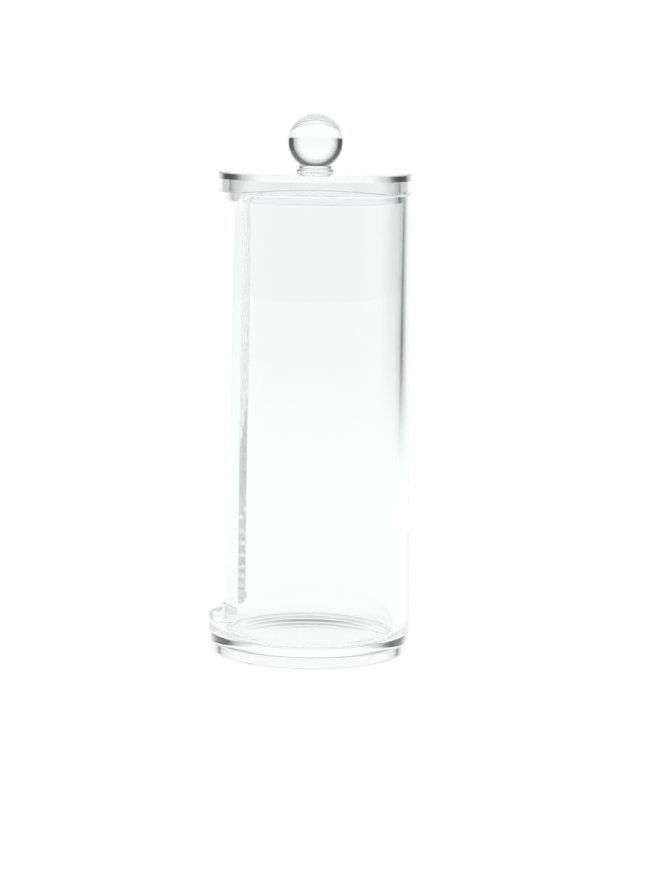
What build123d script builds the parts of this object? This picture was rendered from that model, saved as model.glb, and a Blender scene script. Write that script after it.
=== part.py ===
from build123d import *
import os

# Upright container for round cotton pads, moulded in clear plastic.
# Three pieces: a slotted body, a lid that rests on its rim and a ball knob cemented on the lid.
# Millimetres, +Z up, origin at the centre of the underside, slot facing -Y.

os.makedirs("parts", exist_ok=True)

# Body outside: the wall widens downwards as far as the parting line, then draws in to the foot
rim_height = 169.2
rim_outer_radius = 35.1
widest_radius = 37.3
widest_height = 7.9
foot_draw_in = 1.2
rim_outer_round = 0.8
rim_inner_round = 0.4
foot_outer_round = 0.6

# Body inside: the wall thickens from the rim to the floor
rim_wall_thickness = 2.6
floor_wall_thickness = 5.3
floor_top = 6.9
floor_thickness = 2.7
floor_corner_round = 3.5

# Hollow under the floor, inside the foot ring
foot_ring_thickness = 4.0
foot_hollow_corner_round = 0.8
foot_inner_round = 0.4

# Slot in the front wall, open at the rim
sill_height = 12.5
slot_half_width = 21.0
sill_corner_round = 4.5
slot_mouth_round = 6.0

# Lid: the skirt rests on the rim, and the plug ring stands in the mouth
lid_side_margin = 0.1
skirt_depth = 7.1
skirt_thickness = 1.7
lid_plate_thickness = 2.5
lid_edge_round = 0.4
plug_clearance = 0.3
plug_thickness = 1.6
plug_depth = 3.2
plug_edge_round = 0.4

# Ball knob
ball_radius = 10.15
ball_centre_above_lid = 11.15
neck_radius = 5.95
neck_height = 1.2
neck_edge_round = 0.5
collar_radius = 6.75
collar_depth = 1.3
collar_edge_round = 0.6

# Sizes that follow from the ones above
mouth_radius = rim_outer_radius - rim_wall_thickness
bore_floor_radius = widest_radius - floor_wall_thickness
foot_outer_radius = widest_radius - foot_draw_in
foot_inner_radius = foot_outer_radius - foot_ring_thickness
foot_hollow_depth = floor_top - floor_thickness
slot_cutter_reach = widest_radius + rim_outer_radius
lid_radius = rim_outer_radius - lid_side_margin
lid_top = rim_height + skirt_depth
plate_underside = lid_top - lid_plate_thickness
skirt_inner_radius = lid_radius - skirt_thickness
plug_radius = mouth_radius - plug_clearance
plug_bottom = rim_height - plug_depth
recess_radius = plug_radius - plug_thickness
ball_centre = lid_top + ball_centre_above_lid
ball_top = ball_centre + ball_radius
collar_top = lid_top + collar_depth
neck_top = collar_top + neck_height
ball_foot_radius = (ball_radius**2 - (ball_centre - neck_top) ** 2) ** 0.5


def round_corner(sketch, corner_x, corner_y, size):
    """Rounds the corner of a sketch that lies nearest to the given place."""
    corner = sketch.vertices().sort_by_distance((corner_x, corner_y))[0]
    fillet(corner, size)


# Body: one moulding, turned about Z
with BuildPart() as body:
    with BuildSketch(Plane.XZ) as body_section:
        with BuildLine():
            Polyline(
                (0, foot_hollow_depth),
                (foot_inner_radius, foot_hollow_depth),
                (foot_inner_radius, 0),
                (foot_outer_radius, 0),
                (widest_radius, widest_height),
                (rim_outer_radius, rim_height),
                (mouth_radius, rim_height),
                (bore_floor_radius, floor_top),
                (0, floor_top),
                close=True,
            )
        make_face()
        round_corner(body_section, foot_inner_radius, foot_hollow_depth, foot_hollow_corner_round)
        round_corner(body_section, foot_inner_radius, 0, foot_inner_round)
        round_corner(body_section, foot_outer_radius, 0, foot_outer_round)
        round_corner(body_section, rim_outer_radius, rim_height, rim_outer_round)
        round_corner(body_section, mouth_radius, rim_height, rim_inner_round)
        round_corner(body_section, bore_floor_radius, floor_top, floor_corner_round)
    revolve(axis=Axis.Z)

    # Slot through the front wall, rounded at the sill and flared where it meets the rim
    with BuildSketch(Plane.XZ) as slot_shape:
        with BuildLine():
            Polyline(
                (-slot_half_width, sill_height),
                (slot_half_width, sill_height),
                (slot_half_width, rim_height),
                (slot_cutter_reach, rim_height),
                (slot_cutter_reach, lid_top),
                (-slot_cutter_reach, lid_top),
                (-slot_cutter_reach, rim_height),
                (-slot_half_width, rim_height),
                close=True,
            )
        make_face()
        for side in (-1, 1):
            round_corner(slot_shape, side * slot_half_width, sill_height, sill_corner_round)
            round_corner(slot_shape, side * slot_half_width, rim_height, slot_mouth_round)
    extrude(amount=slot_cutter_reach, mode=Mode.SUBTRACT)
body.part.label = "body"
export_step(body.part, "parts/body.step")


# Lid: flat plate with two rings under it, the skirt outside and the plug that centres it in the mouth
with BuildPart() as lid:
    with BuildSketch(Plane.XZ) as lid_section:
        with BuildLine():
            Polyline(
                (0, plate_underside),
                (recess_radius, plate_underside),
                (recess_radius, plug_bottom),
                (plug_radius, plug_bottom),
                (plug_radius, plate_underside),
                (skirt_inner_radius, plate_underside),
                (skirt_inner_radius, rim_height),
                (lid_radius, rim_height),
                (lid_radius, lid_top),
                (0, lid_top),
                close=True,
            )
        make_face()
        round_corner(lid_section, lid_radius, lid_top, lid_edge_round)
        round_corner(lid_section, lid_radius, rim_height, lid_edge_round)
        round_corner(lid_section, plug_radius, plug_bottom, plug_edge_round)
        round_corner(lid_section, recess_radius, plug_bottom, plug_edge_round)
    revolve(axis=Axis.Z)
lid.part.label = "lid"
export_step(lid.part, "parts/lid.step")


# Knob: solid ball on a short neck, with a collar that stands on the lid
with BuildPart() as knob:
    with BuildSketch(Plane.XZ) as knob_section:
        with BuildLine():
            Polyline(
                (0, ball_top),
                (0, lid_top),
                (collar_radius, lid_top),
                (collar_radius, collar_top),
                (neck_radius, collar_top),
                (neck_radius, neck_top),
                (ball_foot_radius, neck_top),
            )
            ThreePointArc((ball_foot_radius, neck_top), (ball_radius, ball_centre), (0, ball_top))
        make_face()
        round_corner(knob_section, collar_radius, lid_top, collar_edge_round)
        round_corner(knob_section, collar_radius, collar_top, collar_edge_round)
        round_corner(knob_section, neck_radius, neck_top, neck_edge_round)
    revolve(axis=Axis.Z)
knob.part.label = "knob"
export_step(knob.part, "parts/knob.step")
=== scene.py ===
import math

import bmesh
import bpy
from mathutils import Matrix, Quaternion, Vector


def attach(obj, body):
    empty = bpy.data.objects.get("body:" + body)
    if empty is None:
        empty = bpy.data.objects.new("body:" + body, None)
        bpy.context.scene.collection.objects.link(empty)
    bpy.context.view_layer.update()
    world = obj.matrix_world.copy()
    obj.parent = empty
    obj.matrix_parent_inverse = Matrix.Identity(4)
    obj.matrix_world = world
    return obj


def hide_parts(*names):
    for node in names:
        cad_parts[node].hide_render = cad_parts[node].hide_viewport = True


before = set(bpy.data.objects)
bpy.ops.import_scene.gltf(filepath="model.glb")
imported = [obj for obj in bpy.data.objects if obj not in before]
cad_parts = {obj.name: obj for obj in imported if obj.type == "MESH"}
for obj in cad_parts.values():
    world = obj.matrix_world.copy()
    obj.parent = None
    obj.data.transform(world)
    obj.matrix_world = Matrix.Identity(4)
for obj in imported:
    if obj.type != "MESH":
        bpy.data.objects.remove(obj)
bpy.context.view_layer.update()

# Upright clear container for round cotton pads: a slotted body, a lid and a ball knob, all turned about Z.
# Sizes are in millimetres, the slot faces -Y, and points are turned to metres as they are made.
MM = 0.001

# Body outside and inside
RIM_HEIGHT = 169.2
RIM_OUTER_RADIUS = 35.1
WIDEST_RADIUS = 37.3
WIDEST_HEIGHT = 7.9
FOOT_OUTER_RADIUS = 36.1
FOOT_INNER_RADIUS = 32.1
FOOT_HOLLOW_DEPTH = 4.2
MOUTH_RADIUS = 32.5
BORE_FLOOR_RADIUS = 32.0
FLOOR_TOP = 6.9
RIM_OUTER_ROUND = 0.8
RIM_INNER_ROUND = 0.4
FOOT_OUTER_ROUND = 0.6
FOOT_INNER_ROUND = 0.4
FOOT_HOLLOW_ROUND = 0.8
FLOOR_CORNER_ROUND = 3.5

# Slot
SILL_HEIGHT = 12.5
SLOT_HALF_WIDTH = 21.0
SILL_CORNER_ROUND = 4.5
SLOT_MOUTH_ROUND = 6.0
SLOT_EDGE_BREAK = 0.25
SLOT_EDGE_STEPS = 4
SHARP_ANGLE = math.radians(30)

# Lid
LID_RADIUS = 35.0
LID_TOP = 176.3
PLATE_UNDERSIDE = 173.8
SKIRT_INNER_RADIUS = 33.3
PLUG_RADIUS = 32.2
PLUG_BOTTOM = 166.0
RECESS_RADIUS = 30.6
LID_EDGE_ROUND = 0.4
PLUG_EDGE_ROUND = 0.4

# Ball knob
BALL_RADIUS = 10.15
BALL_CENTRE = LID_TOP + 11.15
NECK_RADIUS = 5.95
COLLAR_RADIUS = 6.75
COLLAR_TOP = LID_TOP + 1.3
COLLAR_ROUND = 0.6
NECK_TOP = COLLAR_TOP + 1.2
NECK_ROUND = 0.5

# Air left between two clear faces that rest on each other, so that light finds both of them
SEAT_AIR = 0.02

# How finely rounds and turned faces are divided
ARC_STEPS = 14
TURN_STEPS = 320
FRONT_STEPS = 72
KNOB_STEPS = 192
BALL_STEPS = 56
STRAIGHT_LEVELS = 18
CREASE_ANGLE = math.radians(8.5)

# Millimetres between two rows of points that are kept apart, and between two heights that count as one
LEVEL_SPACING = 0.004
SAME_HEIGHT = 0.001

# Millimetres that the seam between the floor's front and back stays clear of the slot's edge
SEAM_CLEARANCE = 4.0

# Metres between points that are merged, and the length of an edge that is dropped
MERGE_DISTANCE = 1e-6
SLIVER_LENGTH = MERGE_DISTANCE / 10


def add(tree, kind, values=None, **settings):
    """Adds a node with its settings, and fills its inputs with values or with other nodes' outputs."""
    node = tree.nodes.new(kind)
    for name, value in settings.items():
        setattr(node, name, value)
    for socket, value in (values or {}).items():
        if isinstance(value, bpy.types.NodeSocket):
            tree.links.new(value, node.inputs[socket])
        else:
            node.inputs[socket].default_value = value
    return node


def linear(hex_colour):
    """An sRGB colour such as "F2F4F4" as linear red, green, blue and alpha."""
    channels = []
    for place in (0, 2, 4):
        value = int(hex_colour[place:place + 2], 16) / 255
        channels.append(value / 12.92 if value <= 0.04045 else ((value + 0.055) / 1.055) ** 2.4)
    return (*channels, 1.0)


# Section lines, as (radius, height) points

def rounded(corners):
    """A section line through corners given as (radius, height, size of the round there)."""
    line = []
    for number, (radius, height, size) in enumerate(corners):
        at = Vector((radius, height))
        if size == 0:
            line.append((radius, height))
            continue
        before = (Vector(corners[number - 1][:2]) - at).normalized()
        after = (Vector(corners[(number + 1) % len(corners)][:2]) - at).normalized()
        half_angle = before.angle(after) / 2
        centre = at + (before + after).normalized() * (size / math.sin(half_angle))
        reach = size / math.tan(half_angle)
        first = at + before * reach - centre
        turn = first.angle_signed(at + after * reach - centre)
        for step in range(ARC_STEPS + 1):
            angle = -turn * step / ARC_STEPS
            line.append((
                centre.x + first.x * math.cos(angle) - first.y * math.sin(angle),
                centre.y + first.x * math.sin(angle) + first.y * math.cos(angle),
            ))
    return line


def radius_at(line, height):
    """Radius of a wall's line at a height."""
    for (low_radius, low), (high_radius, high) in zip(line, line[1:]):
        if low <= height <= high and high > low:
            return low_radius + (high_radius - low_radius) * (height - low) / (high - low)
    return line[-1][0]


def slot_half_width(height):
    """Half the slot's width at a height: straight sides, rounds at the sill, and a flare at the rim."""
    below = max(0.0, SILL_HEIGHT + SILL_CORNER_ROUND - height)
    above = max(0.0, height - RIM_HEIGHT + SLOT_MOUTH_ROUND)
    corner = SILL_CORNER_ROUND - math.sqrt(max(0.0, SILL_CORNER_ROUND ** 2 - below ** 2))
    flare = SLOT_MOUTH_ROUND - math.sqrt(max(0.0, SLOT_MOUTH_ROUND ** 2 - above ** 2))
    return SLOT_HALF_WIDTH - corner + flare


def slot_levels():
    """Heights at which both faces of the slotted wall have a row of points, from the sill to the rim."""
    quarter = [math.radians(90 * step / ARC_STEPS) for step in range(ARC_STEPS + 1)]
    corner_top = SILL_HEIGHT + SILL_CORNER_ROUND
    mouth = RIM_HEIGHT - SLOT_MOUTH_ROUND
    levels = [corner_top - SILL_CORNER_ROUND * math.cos(angle) for angle in quarter]
    straight = mouth - corner_top
    levels += [corner_top + straight * step / STRAIGHT_LEVELS for step in range(1, STRAIGHT_LEVELS)]
    levels += [mouth + SLOT_MOUTH_ROUND * math.sin(angle) for angle in quarter]
    for size in (RIM_OUTER_ROUND, RIM_INNER_ROUND):
        levels += [RIM_HEIGHT - size + size * math.sin(angle) for angle in quarter]
    kept = []
    for level in sorted(levels):
        if not kept or level - kept[-1] > LEVEL_SPACING:
            kept.append(level)
    kept[-1] = RIM_HEIGHT
    return kept


# Turned faces

def turning_tree():
    """Geometry Nodes that turn a section about Z, each of its points a row between its own two angles."""
    tree = bpy.data.node_groups.new("turned_section", "GeometryNodeTree")
    face = tree.interface
    face.new_socket("Section", in_out="INPUT", socket_type="NodeSocketGeometry")
    face.new_socket("Section points", in_out="INPUT", socket_type="NodeSocketInt")
    face.new_socket("Points round", in_out="INPUT", socket_type="NodeSocketInt")
    face.new_socket("Crease angle", in_out="INPUT", socket_type="NodeSocketFloat")
    face.new_socket("Merge distance", in_out="INPUT", socket_type="NodeSocketFloat")
    face.new_socket("Plastic", in_out="INPUT", socket_type="NodeSocketMaterial")
    face.new_socket("Turned", in_out="OUTPUT", socket_type="NodeSocketGeometry")
    given = add(tree, "NodeGroupInput").outputs

    grid = add(tree, "GeometryNodeMeshGrid",
               {"Vertices X": given["Section points"], "Vertices Y": given["Points round"]})
    index = add(tree, "GeometryNodeInputIndex").outputs["Index"]
    whole = add(tree, "ShaderNodeMath", {0: index, 1: 0.5}, operation="ADD").outputs[0]
    ratio = add(tree, "ShaderNodeMath", {0: whole, 1: given["Points round"]}, operation="DIVIDE").outputs[0]
    row = add(tree, "ShaderNodeMath", {0: ratio}, operation="FLOOR").outputs[0]
    before = add(tree, "ShaderNodeMath", {0: row, 1: given["Points round"]}, operation="MULTIPLY").outputs[0]
    column = add(tree, "ShaderNodeMath", {0: index, 1: before}, operation="SUBTRACT").outputs[0]
    last = add(tree, "ShaderNodeMath", {0: given["Points round"], 1: 1.0}, operation="SUBTRACT").outputs[0]
    share = add(tree, "ShaderNodeMath", {0: column, 1: last}, operation="DIVIDE").outputs[0]

    place = add(tree, "GeometryNodeInputPosition").outputs["Position"]
    point = add(tree, "GeometryNodeSampleIndex", {"Geometry": given["Section"], "Value": place, "Index": row},
                data_type="FLOAT_VECTOR", domain="POINT").outputs["Value"]
    ends = []
    for name in ("first_angle", "last_angle"):
        stored = add(tree, "GeometryNodeInputNamedAttribute", {"Name": name}, data_type="FLOAT").outputs
        ends.append(add(tree, "GeometryNodeSampleIndex",
                        {"Geometry": given["Section"], "Value": stored["Attribute"], "Index": row},
                        data_type="FLOAT", domain="POINT").outputs["Value"])
    angle = add(tree, "ShaderNodeMapRange",
                {"Value": share, "To Min": ends[0], "To Max": ends[1]}).outputs["Result"]
    part = add(tree, "ShaderNodeSeparateXYZ", {"Vector": point}).outputs
    sine = add(tree, "ShaderNodeMath", {0: angle}, operation="SINE").outputs[0]
    cosine = add(tree, "ShaderNodeMath", {0: angle}, operation="COSINE").outputs[0]
    across = add(tree, "ShaderNodeMath", {0: part["X"], 1: sine}, operation="MULTIPLY").outputs[0]
    behind = add(tree, "ShaderNodeMath", {0: part["X"], 1: cosine}, operation="MULTIPLY").outputs[0]
    front = add(tree, "ShaderNodeMath", {0: behind, 1: -1.0}, operation="MULTIPLY").outputs[0]
    turned = add(tree, "ShaderNodeCombineXYZ", {"X": across, "Y": front, "Z": part["Z"]}).outputs["Vector"]
    placed = add(tree, "GeometryNodeSetPosition", {"Geometry": grid.outputs["Mesh"], "Position": turned})
    closed = add(tree, "GeometryNodeMergeByDistance",
                 {"Geometry": placed.outputs["Geometry"], "Distance": given["Merge distance"]})

    bend = add(tree, "GeometryNodeInputMeshEdgeAngle").outputs["Unsigned Angle"]
    creased = add(tree, "FunctionNodeCompare", {"A": bend, "B": given["Crease angle"]},
                  data_type="FLOAT", operation="GREATER_THAN").outputs["Result"]
    smooth = add(tree, "GeometryNodeSetShadeSmooth",
                 {"Geometry": closed.outputs["Geometry"], "Shade Smooth": True}, domain="FACE")
    shaded = add(tree, "GeometryNodeSetShadeSmooth",
                 {"Geometry": smooth.outputs["Geometry"], "Selection": creased, "Shade Smooth": False},
                 domain="EDGE")
    real = add(tree, "GeometryNodeRealizeInstances", {"Geometry": shaded.outputs["Geometry"]})
    dressed = add(tree, "GeometryNodeSetMaterial",
                  {"Geometry": real.outputs["Geometry"], "Material": given["Plastic"]})
    add(tree, "NodeGroupOutput", {"Turned": dressed.outputs["Geometry"]})
    return tree


def turned_mesh(name, rows, points_round, tree, material):
    """Plain mesh of the rows (radius, height, first angle, last angle) turned about Z by the tree."""
    section = bpy.data.meshes.new(name + "_section")
    section.from_pydata([(radius * MM, 0, height * MM) for radius, height, _, _ in rows], [], [])
    for name_of_end, place in (("first_angle", 2), ("last_angle", 3)):
        stored = section.attributes.new(name_of_end, "FLOAT", "POINT")
        stored.data.foreach_set("value", [row[place] for row in rows])
    piece = bpy.data.objects.new(name, section)
    bpy.context.scene.collection.objects.link(piece)
    modifier = piece.modifiers.new("Turned section", "NODES")
    modifier.node_group = tree
    values = {
        "Section points": len(rows), "Points round": points_round, "Crease angle": CREASE_ANGLE,
        "Merge distance": MERGE_DISTANCE, "Plastic": material,
    }
    for socket in tree.interface.items_tree:
        if socket.in_out == "INPUT" and socket.name in values:
            modifier[socket.identifier] = values[socket.name]
    made = bpy.data.meshes.new_from_object(piece.evaluated_get(bpy.context.evaluated_depsgraph_get()))
    bpy.data.objects.remove(piece)
    made.name = name
    return made


def full_turn(line):
    """Rows for a section line that is turned the whole way round."""
    return [(radius, height, 0.0, 2 * math.pi) for radius, height in line]


def finish_mesh(name, mesh, material, edge_break=0.0):
    """Closes the mesh, points its faces outwards, marks its creases, and makes it a new object with its
    material.
    """
    work = bmesh.new()
    work.from_mesh(mesh)
    bmesh.ops.remove_doubles(work, verts=work.verts, dist=MERGE_DISTANCE)
    bmesh.ops.dissolve_degenerate(work, edges=work.edges, dist=SLIVER_LENGTH)
    bmesh.ops.recalc_face_normals(work, faces=work.faces)
    if edge_break:
        shared = [edge for edge in work.edges if len(edge.link_faces) == 2]
        sharp = [edge for edge in shared if edge.calc_face_angle() > SHARP_ANGLE]
        bmesh.ops.bevel(work, geom=sharp, offset=edge_break * MM, offset_type="OFFSET",
                        segments=SLOT_EDGE_STEPS, profile=0.5, affect="EDGES", clamp_overlap=False)
    for face in work.faces:
        face.smooth = True
    for edge in work.edges:
        edge.smooth = len(edge.link_faces) == 2 and edge.calc_face_angle() < CREASE_ANGLE
    work.to_mesh(mesh)
    work.free()
    mesh.materials.clear()
    mesh.materials.append(material)
    piece = bpy.data.objects.new(name, mesh)
    bpy.context.scene.collection.objects.link(piece)
    return piece


# Clear plastic: a trace of blue-green in its colour, ripples 11 mm long and 0.006 mm high, and patches of
# polish 1.6 mm across, whose roughness runs between the two values given

CLEAR_COLOUR = "FDFEFE"
PLASTIC_IOR = 1.5
RIPPLE_LENGTH = 0.011
RIPPLE_HEIGHT = 0.000006
RIPPLE_DETAIL = 1.0
RIPPLE_ROUGHNESS = 0.4
POLISH_GRAIN = 0.0016
POLISH_DETAIL = 2.0
POLISH_LOW = 0.0
POLISH_HIGH = 0.035
PATCH_START = 0.35
PATCH_END = 0.75


def clear_plastic(name):
    """Clear polystyrene, injection moulded in a polished mould: it bends light strongly and reflects sharply.

    The flow of the melt leaves slow ripples, which make straight lines seen through a wall waver a little,
    and the mould's polish comes and goes, which softens some of the edges of light.
    """
    material = bpy.data.materials.new(name)
    material.use_nodes = True
    tree = material.node_tree
    tree.nodes.clear()
    place = add(tree, "ShaderNodeTexCoord").outputs["Object"]
    ripple = add(tree, "ShaderNodeTexNoise", {
        "Vector": place, "Scale": 1 / RIPPLE_LENGTH, "Detail": RIPPLE_DETAIL, "Roughness": RIPPLE_ROUGHNESS,
    }).outputs["Fac"]
    bump = add(tree, "ShaderNodeBump",
               {"Height": ripple, "Strength": 1.0, "Distance": RIPPLE_HEIGHT}).outputs["Normal"]
    grain = add(tree, "ShaderNodeTexNoise",
                {"Vector": place, "Scale": 1 / POLISH_GRAIN, "Detail": POLISH_DETAIL}).outputs["Fac"]
    polish = add(tree, "ShaderNodeMapRange", {
        "Value": grain, "From Min": PATCH_START, "From Max": PATCH_END,
        "To Min": POLISH_LOW, "To Max": POLISH_HIGH,
    }).outputs["Result"]
    shader = add(tree, "ShaderNodeBsdfPrincipled", {
        "Base Color": linear(CLEAR_COLOUR), "Roughness": polish, "IOR": PLASTIC_IOR,
        "Transmission Weight": 1.0, "Normal": bump,
    })
    add(tree, "ShaderNodeOutputMaterial", {"Surface": shader.outputs["BSDF"]})
    return material


body_plastic = clear_plastic("moulded_clear_polystyrene_body")
lid_plastic = clear_plastic("moulded_clear_polystyrene_lid")
knob_plastic = clear_plastic("moulded_clear_polystyrene_knob")
section_tree = turning_tree()

# Body: the wall's section, with its slotted stretch divided at the same heights outside and inside
BODY_SECTION = rounded([
    (0.0, FOOT_HOLLOW_DEPTH, 0),
    (FOOT_INNER_RADIUS, FOOT_HOLLOW_DEPTH, FOOT_HOLLOW_ROUND),
    (FOOT_INNER_RADIUS, 0.0, FOOT_INNER_ROUND),
    (FOOT_OUTER_RADIUS, 0.0, FOOT_OUTER_ROUND),
    (WIDEST_RADIUS, WIDEST_HEIGHT, 0),
    (RIM_OUTER_RADIUS, RIM_HEIGHT, RIM_OUTER_ROUND),
    (MOUTH_RADIUS, RIM_HEIGHT, RIM_INNER_ROUND),
    (BORE_FLOOR_RADIUS, FLOOR_TOP, FLOOR_CORNER_ROUND),
    (0.0, FLOOR_TOP, 0),
])


def body_mesh():
    """The body's faces: the wall round the back, the low wall and floor in front, and the slot's sides."""
    widest = next(n for n, (radius, _) in enumerate(BODY_SECTION) if radius == WIDEST_RADIUS)
    rim_top = [n for n, (_, height) in enumerate(BODY_SECTION) if abs(height - RIM_HEIGHT) < SAME_HEIGHT]
    outer_line = BODY_SECTION[widest:rim_top[0] + 1]
    inner_line = BODY_SECTION[-2:rim_top[-1] - 1:-1]
    levels = slot_levels()
    under = BODY_SECTION[:widest + 1]
    outer = [(radius_at(outer_line, level), level) for level in levels]
    inner = [(radius_at(inner_line, level), level) for level in reversed(levels)]
    floor = [point for point in BODY_SECTION[rim_top[-1]:] if point[1] < SILL_HEIGHT - SAME_HEIGHT]
    half_sill = slot_half_width(SILL_HEIGHT)

    def gap(radius, height):
        """Angle from the front at which the back starts: the slot's edge, or the seam under the sill."""
        if height >= SILL_HEIGHT:
            return math.asin(slot_half_width(height) / radius)
        return math.asin(half_sill / max(radius, half_sill + SEAM_CLEARANCE))

    back = [(radius, height, gap(radius, height), 2 * math.pi - gap(radius, height))
            for radius, height in under + outer + inner + floor]
    front = [(radius, height, -gap(radius, height), gap(radius, height))
             for radius, height in under + outer[:1] + inner[-1:] + floor]
    joined = bmesh.new()
    for name, rows, points in (("body_back", back, TURN_STEPS), ("body_front", front, FRONT_STEPS)):
        joined.from_mesh(turned_mesh(name, rows, points, section_tree, body_plastic))
    for side in (-1, 1):
        lines = []
        for line in (outer, inner[::-1]):
            lines.append([
                joined.verts.new((
                    side * slot_half_width(height) * MM,
                    -math.sqrt(radius ** 2 - slot_half_width(height) ** 2) * MM,
                    height * MM,
                ))
                for radius, height in line
            ])
        for step in range(len(levels) - 1):
            joined.faces.new((lines[0][step], lines[0][step + 1], lines[1][step + 1], lines[1][step]))
    mesh = bpy.data.meshes.new("body")
    joined.to_mesh(mesh)
    joined.free()
    return mesh


LID_SECTION = rounded([
    (0.0, PLATE_UNDERSIDE, 0),
    (RECESS_RADIUS, PLATE_UNDERSIDE, 0),
    (RECESS_RADIUS, PLUG_BOTTOM, PLUG_EDGE_ROUND),
    (PLUG_RADIUS, PLUG_BOTTOM, PLUG_EDGE_ROUND),
    (PLUG_RADIUS, PLATE_UNDERSIDE, 0),
    (SKIRT_INNER_RADIUS, PLATE_UNDERSIDE, 0),
    (SKIRT_INNER_RADIUS, RIM_HEIGHT + SEAT_AIR, 0),
    (LID_RADIUS, RIM_HEIGHT + SEAT_AIR, LID_EDGE_ROUND),
    (LID_RADIUS, LID_TOP, LID_EDGE_ROUND),
    (0.0, LID_TOP, 0),
])

neck_angle = math.acos((BALL_CENTRE - NECK_TOP) / BALL_RADIUS)
BALL_LINE = [
    (BALL_RADIUS * math.sin(angle), BALL_CENTRE - BALL_RADIUS * math.cos(angle))
    for angle in (neck_angle + (math.pi - neck_angle) * step / BALL_STEPS for step in range(BALL_STEPS + 1))
]
KNOB_SECTION = rounded([
    (0.0, LID_TOP + SEAT_AIR, 0),
    (COLLAR_RADIUS, LID_TOP + SEAT_AIR, COLLAR_ROUND),
    (COLLAR_RADIUS, COLLAR_TOP, COLLAR_ROUND),
    (NECK_RADIUS, COLLAR_TOP, 0),
    (NECK_RADIUS, NECK_TOP, NECK_ROUND),
    (BALL_LINE[0][0], NECK_TOP, 0),
]) + BALL_LINE[1:]

lid_mesh = turned_mesh("lid", full_turn(LID_SECTION), TURN_STEPS, section_tree, lid_plastic)
knob_mesh = turned_mesh("knob", full_turn(KNOB_SECTION), KNOB_STEPS, section_tree, knob_plastic)
for slot, node, mesh, plastic, edge_break in (
    ("clear_body", "body", body_mesh(), body_plastic, SLOT_EDGE_BREAK),
    ("clear_lid", "lid", lid_mesh, lid_plastic, 0.0),
    ("clear_knob", "knob", knob_mesh, knob_plastic, 0.0),
):
    piece = finish_mesh(slot, mesh, plastic, edge_break)
    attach(piece, "root")
    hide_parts(node)

# Camera: off the container's right side, a little above its top, looking slightly down
CAMERA_AZIMUTH = math.radians(90.2)
CAMERA_DISTANCE = 0.930
CAMERA_HEIGHT = 0.213
CAMERA_PITCH = math.radians(8.39)
CAMERA_YAW = math.radians(0.54)
CAMERA_ROLL = math.radians(0.9)
CAMERA_LENS = 102.8
CAMERA_SENSOR = 36.0
CAMERA_NEAREST = 0.05

camera_data = bpy.data.cameras.new("camera")
camera_data.lens = CAMERA_LENS
camera_data.sensor_width = CAMERA_SENSOR
camera_data.clip_start = CAMERA_NEAREST
camera = bpy.data.objects.new("camera", camera_data)
bpy.context.scene.collection.objects.link(camera)
bpy.context.scene.camera = camera
camera.location = (
    math.sin(CAMERA_AZIMUTH) * CAMERA_DISTANCE,
    -math.cos(CAMERA_AZIMUTH) * CAMERA_DISTANCE,
    CAMERA_HEIGHT,
)
towards = Vector((-math.sin(CAMERA_AZIMUTH), math.cos(CAMERA_AZIMUTH), 0.0))
sideways = Vector((math.cos(CAMERA_AZIMUTH), math.sin(CAMERA_AZIMUTH), 0.0))
look = (towards * math.cos(CAMERA_YAW) + sideways * math.sin(CAMERA_YAW)) * math.cos(CAMERA_PITCH)
look.z = -math.sin(CAMERA_PITCH)
camera.rotation_mode = "QUATERNION"
camera.rotation_quaternion = look.to_track_quat("-Z", "Y") @ Quaternion((0, 0, 1), CAMERA_ROLL)

# Surroundings: a white sheet behind, dark sides next to it, a grey room in front and a pale ceiling over it.
# Directions are told apart by their height, which is the sine of the angle above the horizon, and by how
# squarely they face the sheet, which is the cosine of the angle from its middle.

# Degrees away from the middle of the sheet, with the level there
SURROUNDINGS = [
    (0, 1.0), (22, 1.0), (25, 0.97), (29, 0.84), (33, 0.70), (37, 0.52), (40, 0.25), (43, 0.09), (47, 0.04),
    (60, 0.04), (68, 0.40), (78, 0.70), (100, 0.70), (125, 0.50), (180, 0.50),
]

# Ceiling: its level, and the heights and facings between which it comes in
CEILING_LEVEL = 0.95
CEILING_LOW = math.sin(math.radians(8))
CEILING_HIGH = math.sin(math.radians(25))
CEILING_START = 0.0
CEILING_WHOLE = -0.35

# Floor: a disc in metres, white as far as the first reach and like the surroundings from the second on, that
# shines with most of its surface so that only a trace of shadow is left
FLOOR_RADIUS = 1.2
FLOOR_SIDES = 128
FLOOR_DROP = 0.00005
FLOOR_WHITE_REACH = 0.35
FLOOR_DIM_REACH = 0.90
FLOOR_COLOUR = "F4F4F4"
FLOOR_GLOW = 0.82
FLOOR_GLOW_LEVEL = 1.12
WHITE = "FFFFFF"

# Heights between which the white beyond the floor gives way to the surroundings: first behind more than one
# wall or well to the side of the sheet, then behind one wall near the sheet. Last, the facings between which
# that side comes in.
HORIZON_HIGH = math.sin(math.radians(14))
HORIZON_LOW = math.sin(math.radians(8))
NEAR_HORIZON_HIGH = -math.sin(math.radians(5))
NEAR_HORIZON_LOW = -math.sin(math.radians(9))
SHEET_SIDE_START = math.cos(math.radians(66))
SHEET_SIDE_END = math.cos(math.radians(74))

# Faces that light crosses in one wall, and the fewest it crosses where there is more than one
ONE_WALL = 2
MORE_THAN_ONE_WALL = 3

# Light is passed on along the slotted wall by many reflections between its faces
BOUNCES = 96


def sheet_facing(tree, direction):
    """Nodes that give how squarely a direction faces the sheet."""
    return add(tree, "ShaderNodeVectorMath", {0: direction, 1: towards},
               operation="DOT_PRODUCT").outputs["Value"]


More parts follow.
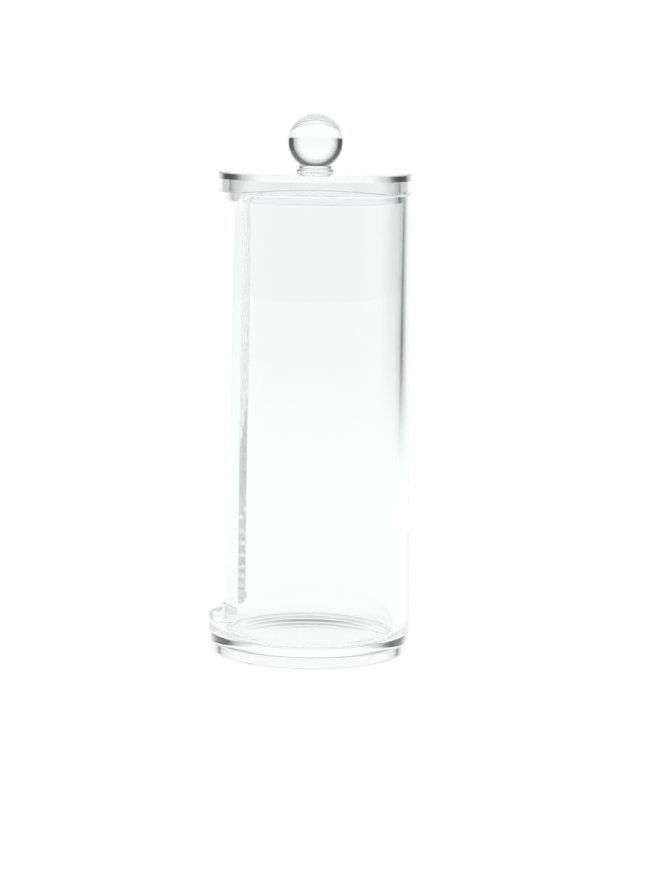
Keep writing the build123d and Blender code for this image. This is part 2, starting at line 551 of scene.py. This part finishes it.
def surroundings(tree, direction):
    """Nodes that give the level of the surroundings in a direction."""
    facing = sheet_facing(tree, direction)
    share = add(tree, "ShaderNodeMapRange", {"Value": facing, "From Min": -1.0}).outputs["Result"]
    ramp = add(tree, "ShaderNodeValToRGB", {"Fac": share})
    stops = [((math.cos(math.radians(degrees)) + 1) / 2, level) for degrees, level in reversed(SURROUNDINGS)]
    elements = ramp.color_ramp.elements
    elements[0].position, elements[1].position = stops[0][0], stops[-1][0]
    elements[0].color = (*[stops[0][1]] * 3, 1)
    elements[1].color = (*[stops[-1][1]] * 3, 1)
    for position, level in stops[1:-1]:
        elements.new(position).color = (level, level, level, 1)
    height = add(tree, "ShaderNodeSeparateXYZ", {"Vector": direction}).outputs["Z"]
    raised = add(tree, "ShaderNodeMapRange",
                 {"Value": height, "From Min": CEILING_LOW, "From Max": CEILING_HIGH},
                 interpolation_type="SMOOTHSTEP").outputs["Result"]
    behind = add(tree, "ShaderNodeMapRange",
                 {"Value": facing, "From Min": CEILING_START, "From Max": CEILING_WHOLE},
                 interpolation_type="SMOOTHSTEP").outputs["Result"]
    ceiling = add(tree, "ShaderNodeMath", {0: raised, 1: behind}, operation="MULTIPLY").outputs[0]
    return add(tree, "ShaderNodeMix", {0: ceiling, 6: ramp.outputs["Color"], 7: (*[CEILING_LEVEL] * 3, 1)},
               data_type="RGBA").outputs[2]


def behind_faces(tree, path, faces):
    """Nodes that give 1 for what is seen through this many faces or more, with no reflection on the way."""
    unreflected = add(tree, "ShaderNodeMath", {0: path["Glossy Depth"], 1: 0.5},
                      operation="LESS_THAN").outputs[0]
    enough = add(tree, "ShaderNodeMath", {0: path["Transmission Depth"], 1: faces - 0.5},
                 operation="GREATER_THAN").outputs[0]
    return add(tree, "ShaderNodeMath", {0: unreflected, 1: enough}, operation="MULTIPLY").outputs[0]


# Floor: a round white table under the container, which fades into the surroundings
floor_mesh = bpy.data.meshes.new("floor")
disc = bmesh.new()
bmesh.ops.create_circle(disc, cap_ends=True, radius=FLOOR_RADIUS, segments=FLOOR_SIDES)
disc.to_mesh(floor_mesh)
disc.free()
floor_mesh.transform(Matrix.Translation((0, 0, -FLOOR_DROP)))
floor_material = bpy.data.materials.new("white_table")
floor_material.use_nodes = True
tree = floor_material.node_tree
tree.nodes.clear()
path = add(tree, "ShaderNodeLightPath").outputs
place = add(tree, "ShaderNodeTexCoord").outputs["Object"]
reach = add(tree, "ShaderNodeVectorMath", {0: place}, operation="LENGTH").outputs["Value"]
away = add(tree, "ShaderNodeVectorMath", {0: place}, operation="NORMALIZE").outputs["Vector"]
fade = add(tree, "ShaderNodeMapRange",
           {"Value": reach, "From Min": FLOOR_WHITE_REACH, "From Max": FLOOR_DIM_REACH},
           interpolation_type="SMOOTHSTEP").outputs["Result"]
straight = add(tree, "ShaderNodeMath", {0: behind_faces(tree, path, ONE_WALL), 1: path["Is Camera Ray"]},
               operation="MAXIMUM").outputs[0]
reflected = add(tree, "ShaderNodeMath", {0: 1.0, 1: straight}, operation="SUBTRACT").outputs[0]
dimmed = add(tree, "ShaderNodeMath", {0: fade, 1: reflected}, operation="MULTIPLY").outputs[0]
level = add(tree, "ShaderNodeMix", {0: dimmed, 6: linear(WHITE), 7: surroundings(tree, away)},
            data_type="RGBA").outputs[2]
matte = add(tree, "ShaderNodeBsdfDiffuse", {"Color": linear(FLOOR_COLOUR)}).outputs[0]
glow = add(tree, "ShaderNodeEmission", {"Color": level, "Strength": FLOOR_GLOW_LEVEL}).outputs[0]
unlit = add(tree, "ShaderNodeMath", {0: path["Is Diffuse Ray"], 1: 1.0}, operation="LESS_THAN").outputs[0]
share = add(tree, "ShaderNodeMath", {0: unlit, 1: FLOOR_GLOW}, operation="MULTIPLY").outputs[0]
both = add(tree, "ShaderNodeMixShader", {0: share, 1: matte, 2: glow}).outputs[0]
add(tree, "ShaderNodeOutputMaterial", {"Surface": both})
floor_mesh.materials.append(floor_material)
floor_piece = bpy.data.objects.new("floor", floor_mesh)
bpy.context.scene.collection.objects.link(floor_piece)

# World: the surroundings all round, and white for the camera and for what is seen through the plastic
world = bpy.data.worlds.new("studio")
bpy.context.scene.world = world
world.use_nodes = True
tree = world.node_tree
tree.nodes.clear()
path = add(tree, "ShaderNodeLightPath").outputs
direction = add(tree, "ShaderNodeTexCoord").outputs["Generated"]
height = add(tree, "ShaderNodeSeparateXYZ", {"Vector": direction}).outputs["Z"]
below = add(tree, "ShaderNodeMapRange",
            {"Value": height, "From Min": HORIZON_HIGH, "From Max": HORIZON_LOW},
            interpolation_type="SMOOTHSTEP").outputs["Result"]
near_below = add(tree, "ShaderNodeMapRange",
                 {"Value": height, "From Min": NEAR_HORIZON_HIGH, "From Max": NEAR_HORIZON_LOW},
                 interpolation_type="SMOOTHSTEP").outputs["Result"]
facing = sheet_facing(tree, direction)
beside = add(tree, "ShaderNodeMapRange",
             {"Value": facing, "From Min": SHEET_SIDE_START, "From Max": SHEET_SIDE_END},
             interpolation_type="SMOOTHSTEP").outputs["Result"]
wide = add(tree, "ShaderNodeMath", {0: beside, 1: behind_faces(tree, path, MORE_THAN_ONE_WALL)},
           operation="MAXIMUM").outputs[0]
wide_white = add(tree, "ShaderNodeMath", {0: below, 1: wide}, operation="MULTIPLY").outputs[0]
either_white = add(tree, "ShaderNodeMath", {0: wide_white, 1: near_below}, operation="MAXIMUM").outputs[0]
through = add(tree, "ShaderNodeMath", {0: either_white, 1: behind_faces(tree, path, ONE_WALL)},
              operation="MULTIPLY").outputs[0]
white = add(tree, "ShaderNodeMath", {0: through, 1: path["Is Camera Ray"]}, operation="MAXIMUM").outputs[0]
shown = add(tree, "ShaderNodeMix", {0: white, 6: surroundings(tree, direction), 7: linear(WHITE)},
            data_type="RGBA").outputs[2]
light = add(tree, "ShaderNodeBackground", {"Color": shown, "Strength": 1.0}).outputs[0]
add(tree, "ShaderNodeOutputWorld", {"Surface": light})

scene = bpy.context.scene
scene.view_settings.view_transform = "Standard"
scene.cycles.max_bounces = BOUNCES
scene.cycles.glossy_bounces = BOUNCES
scene.cycles.transmission_bounces = BOUNCES
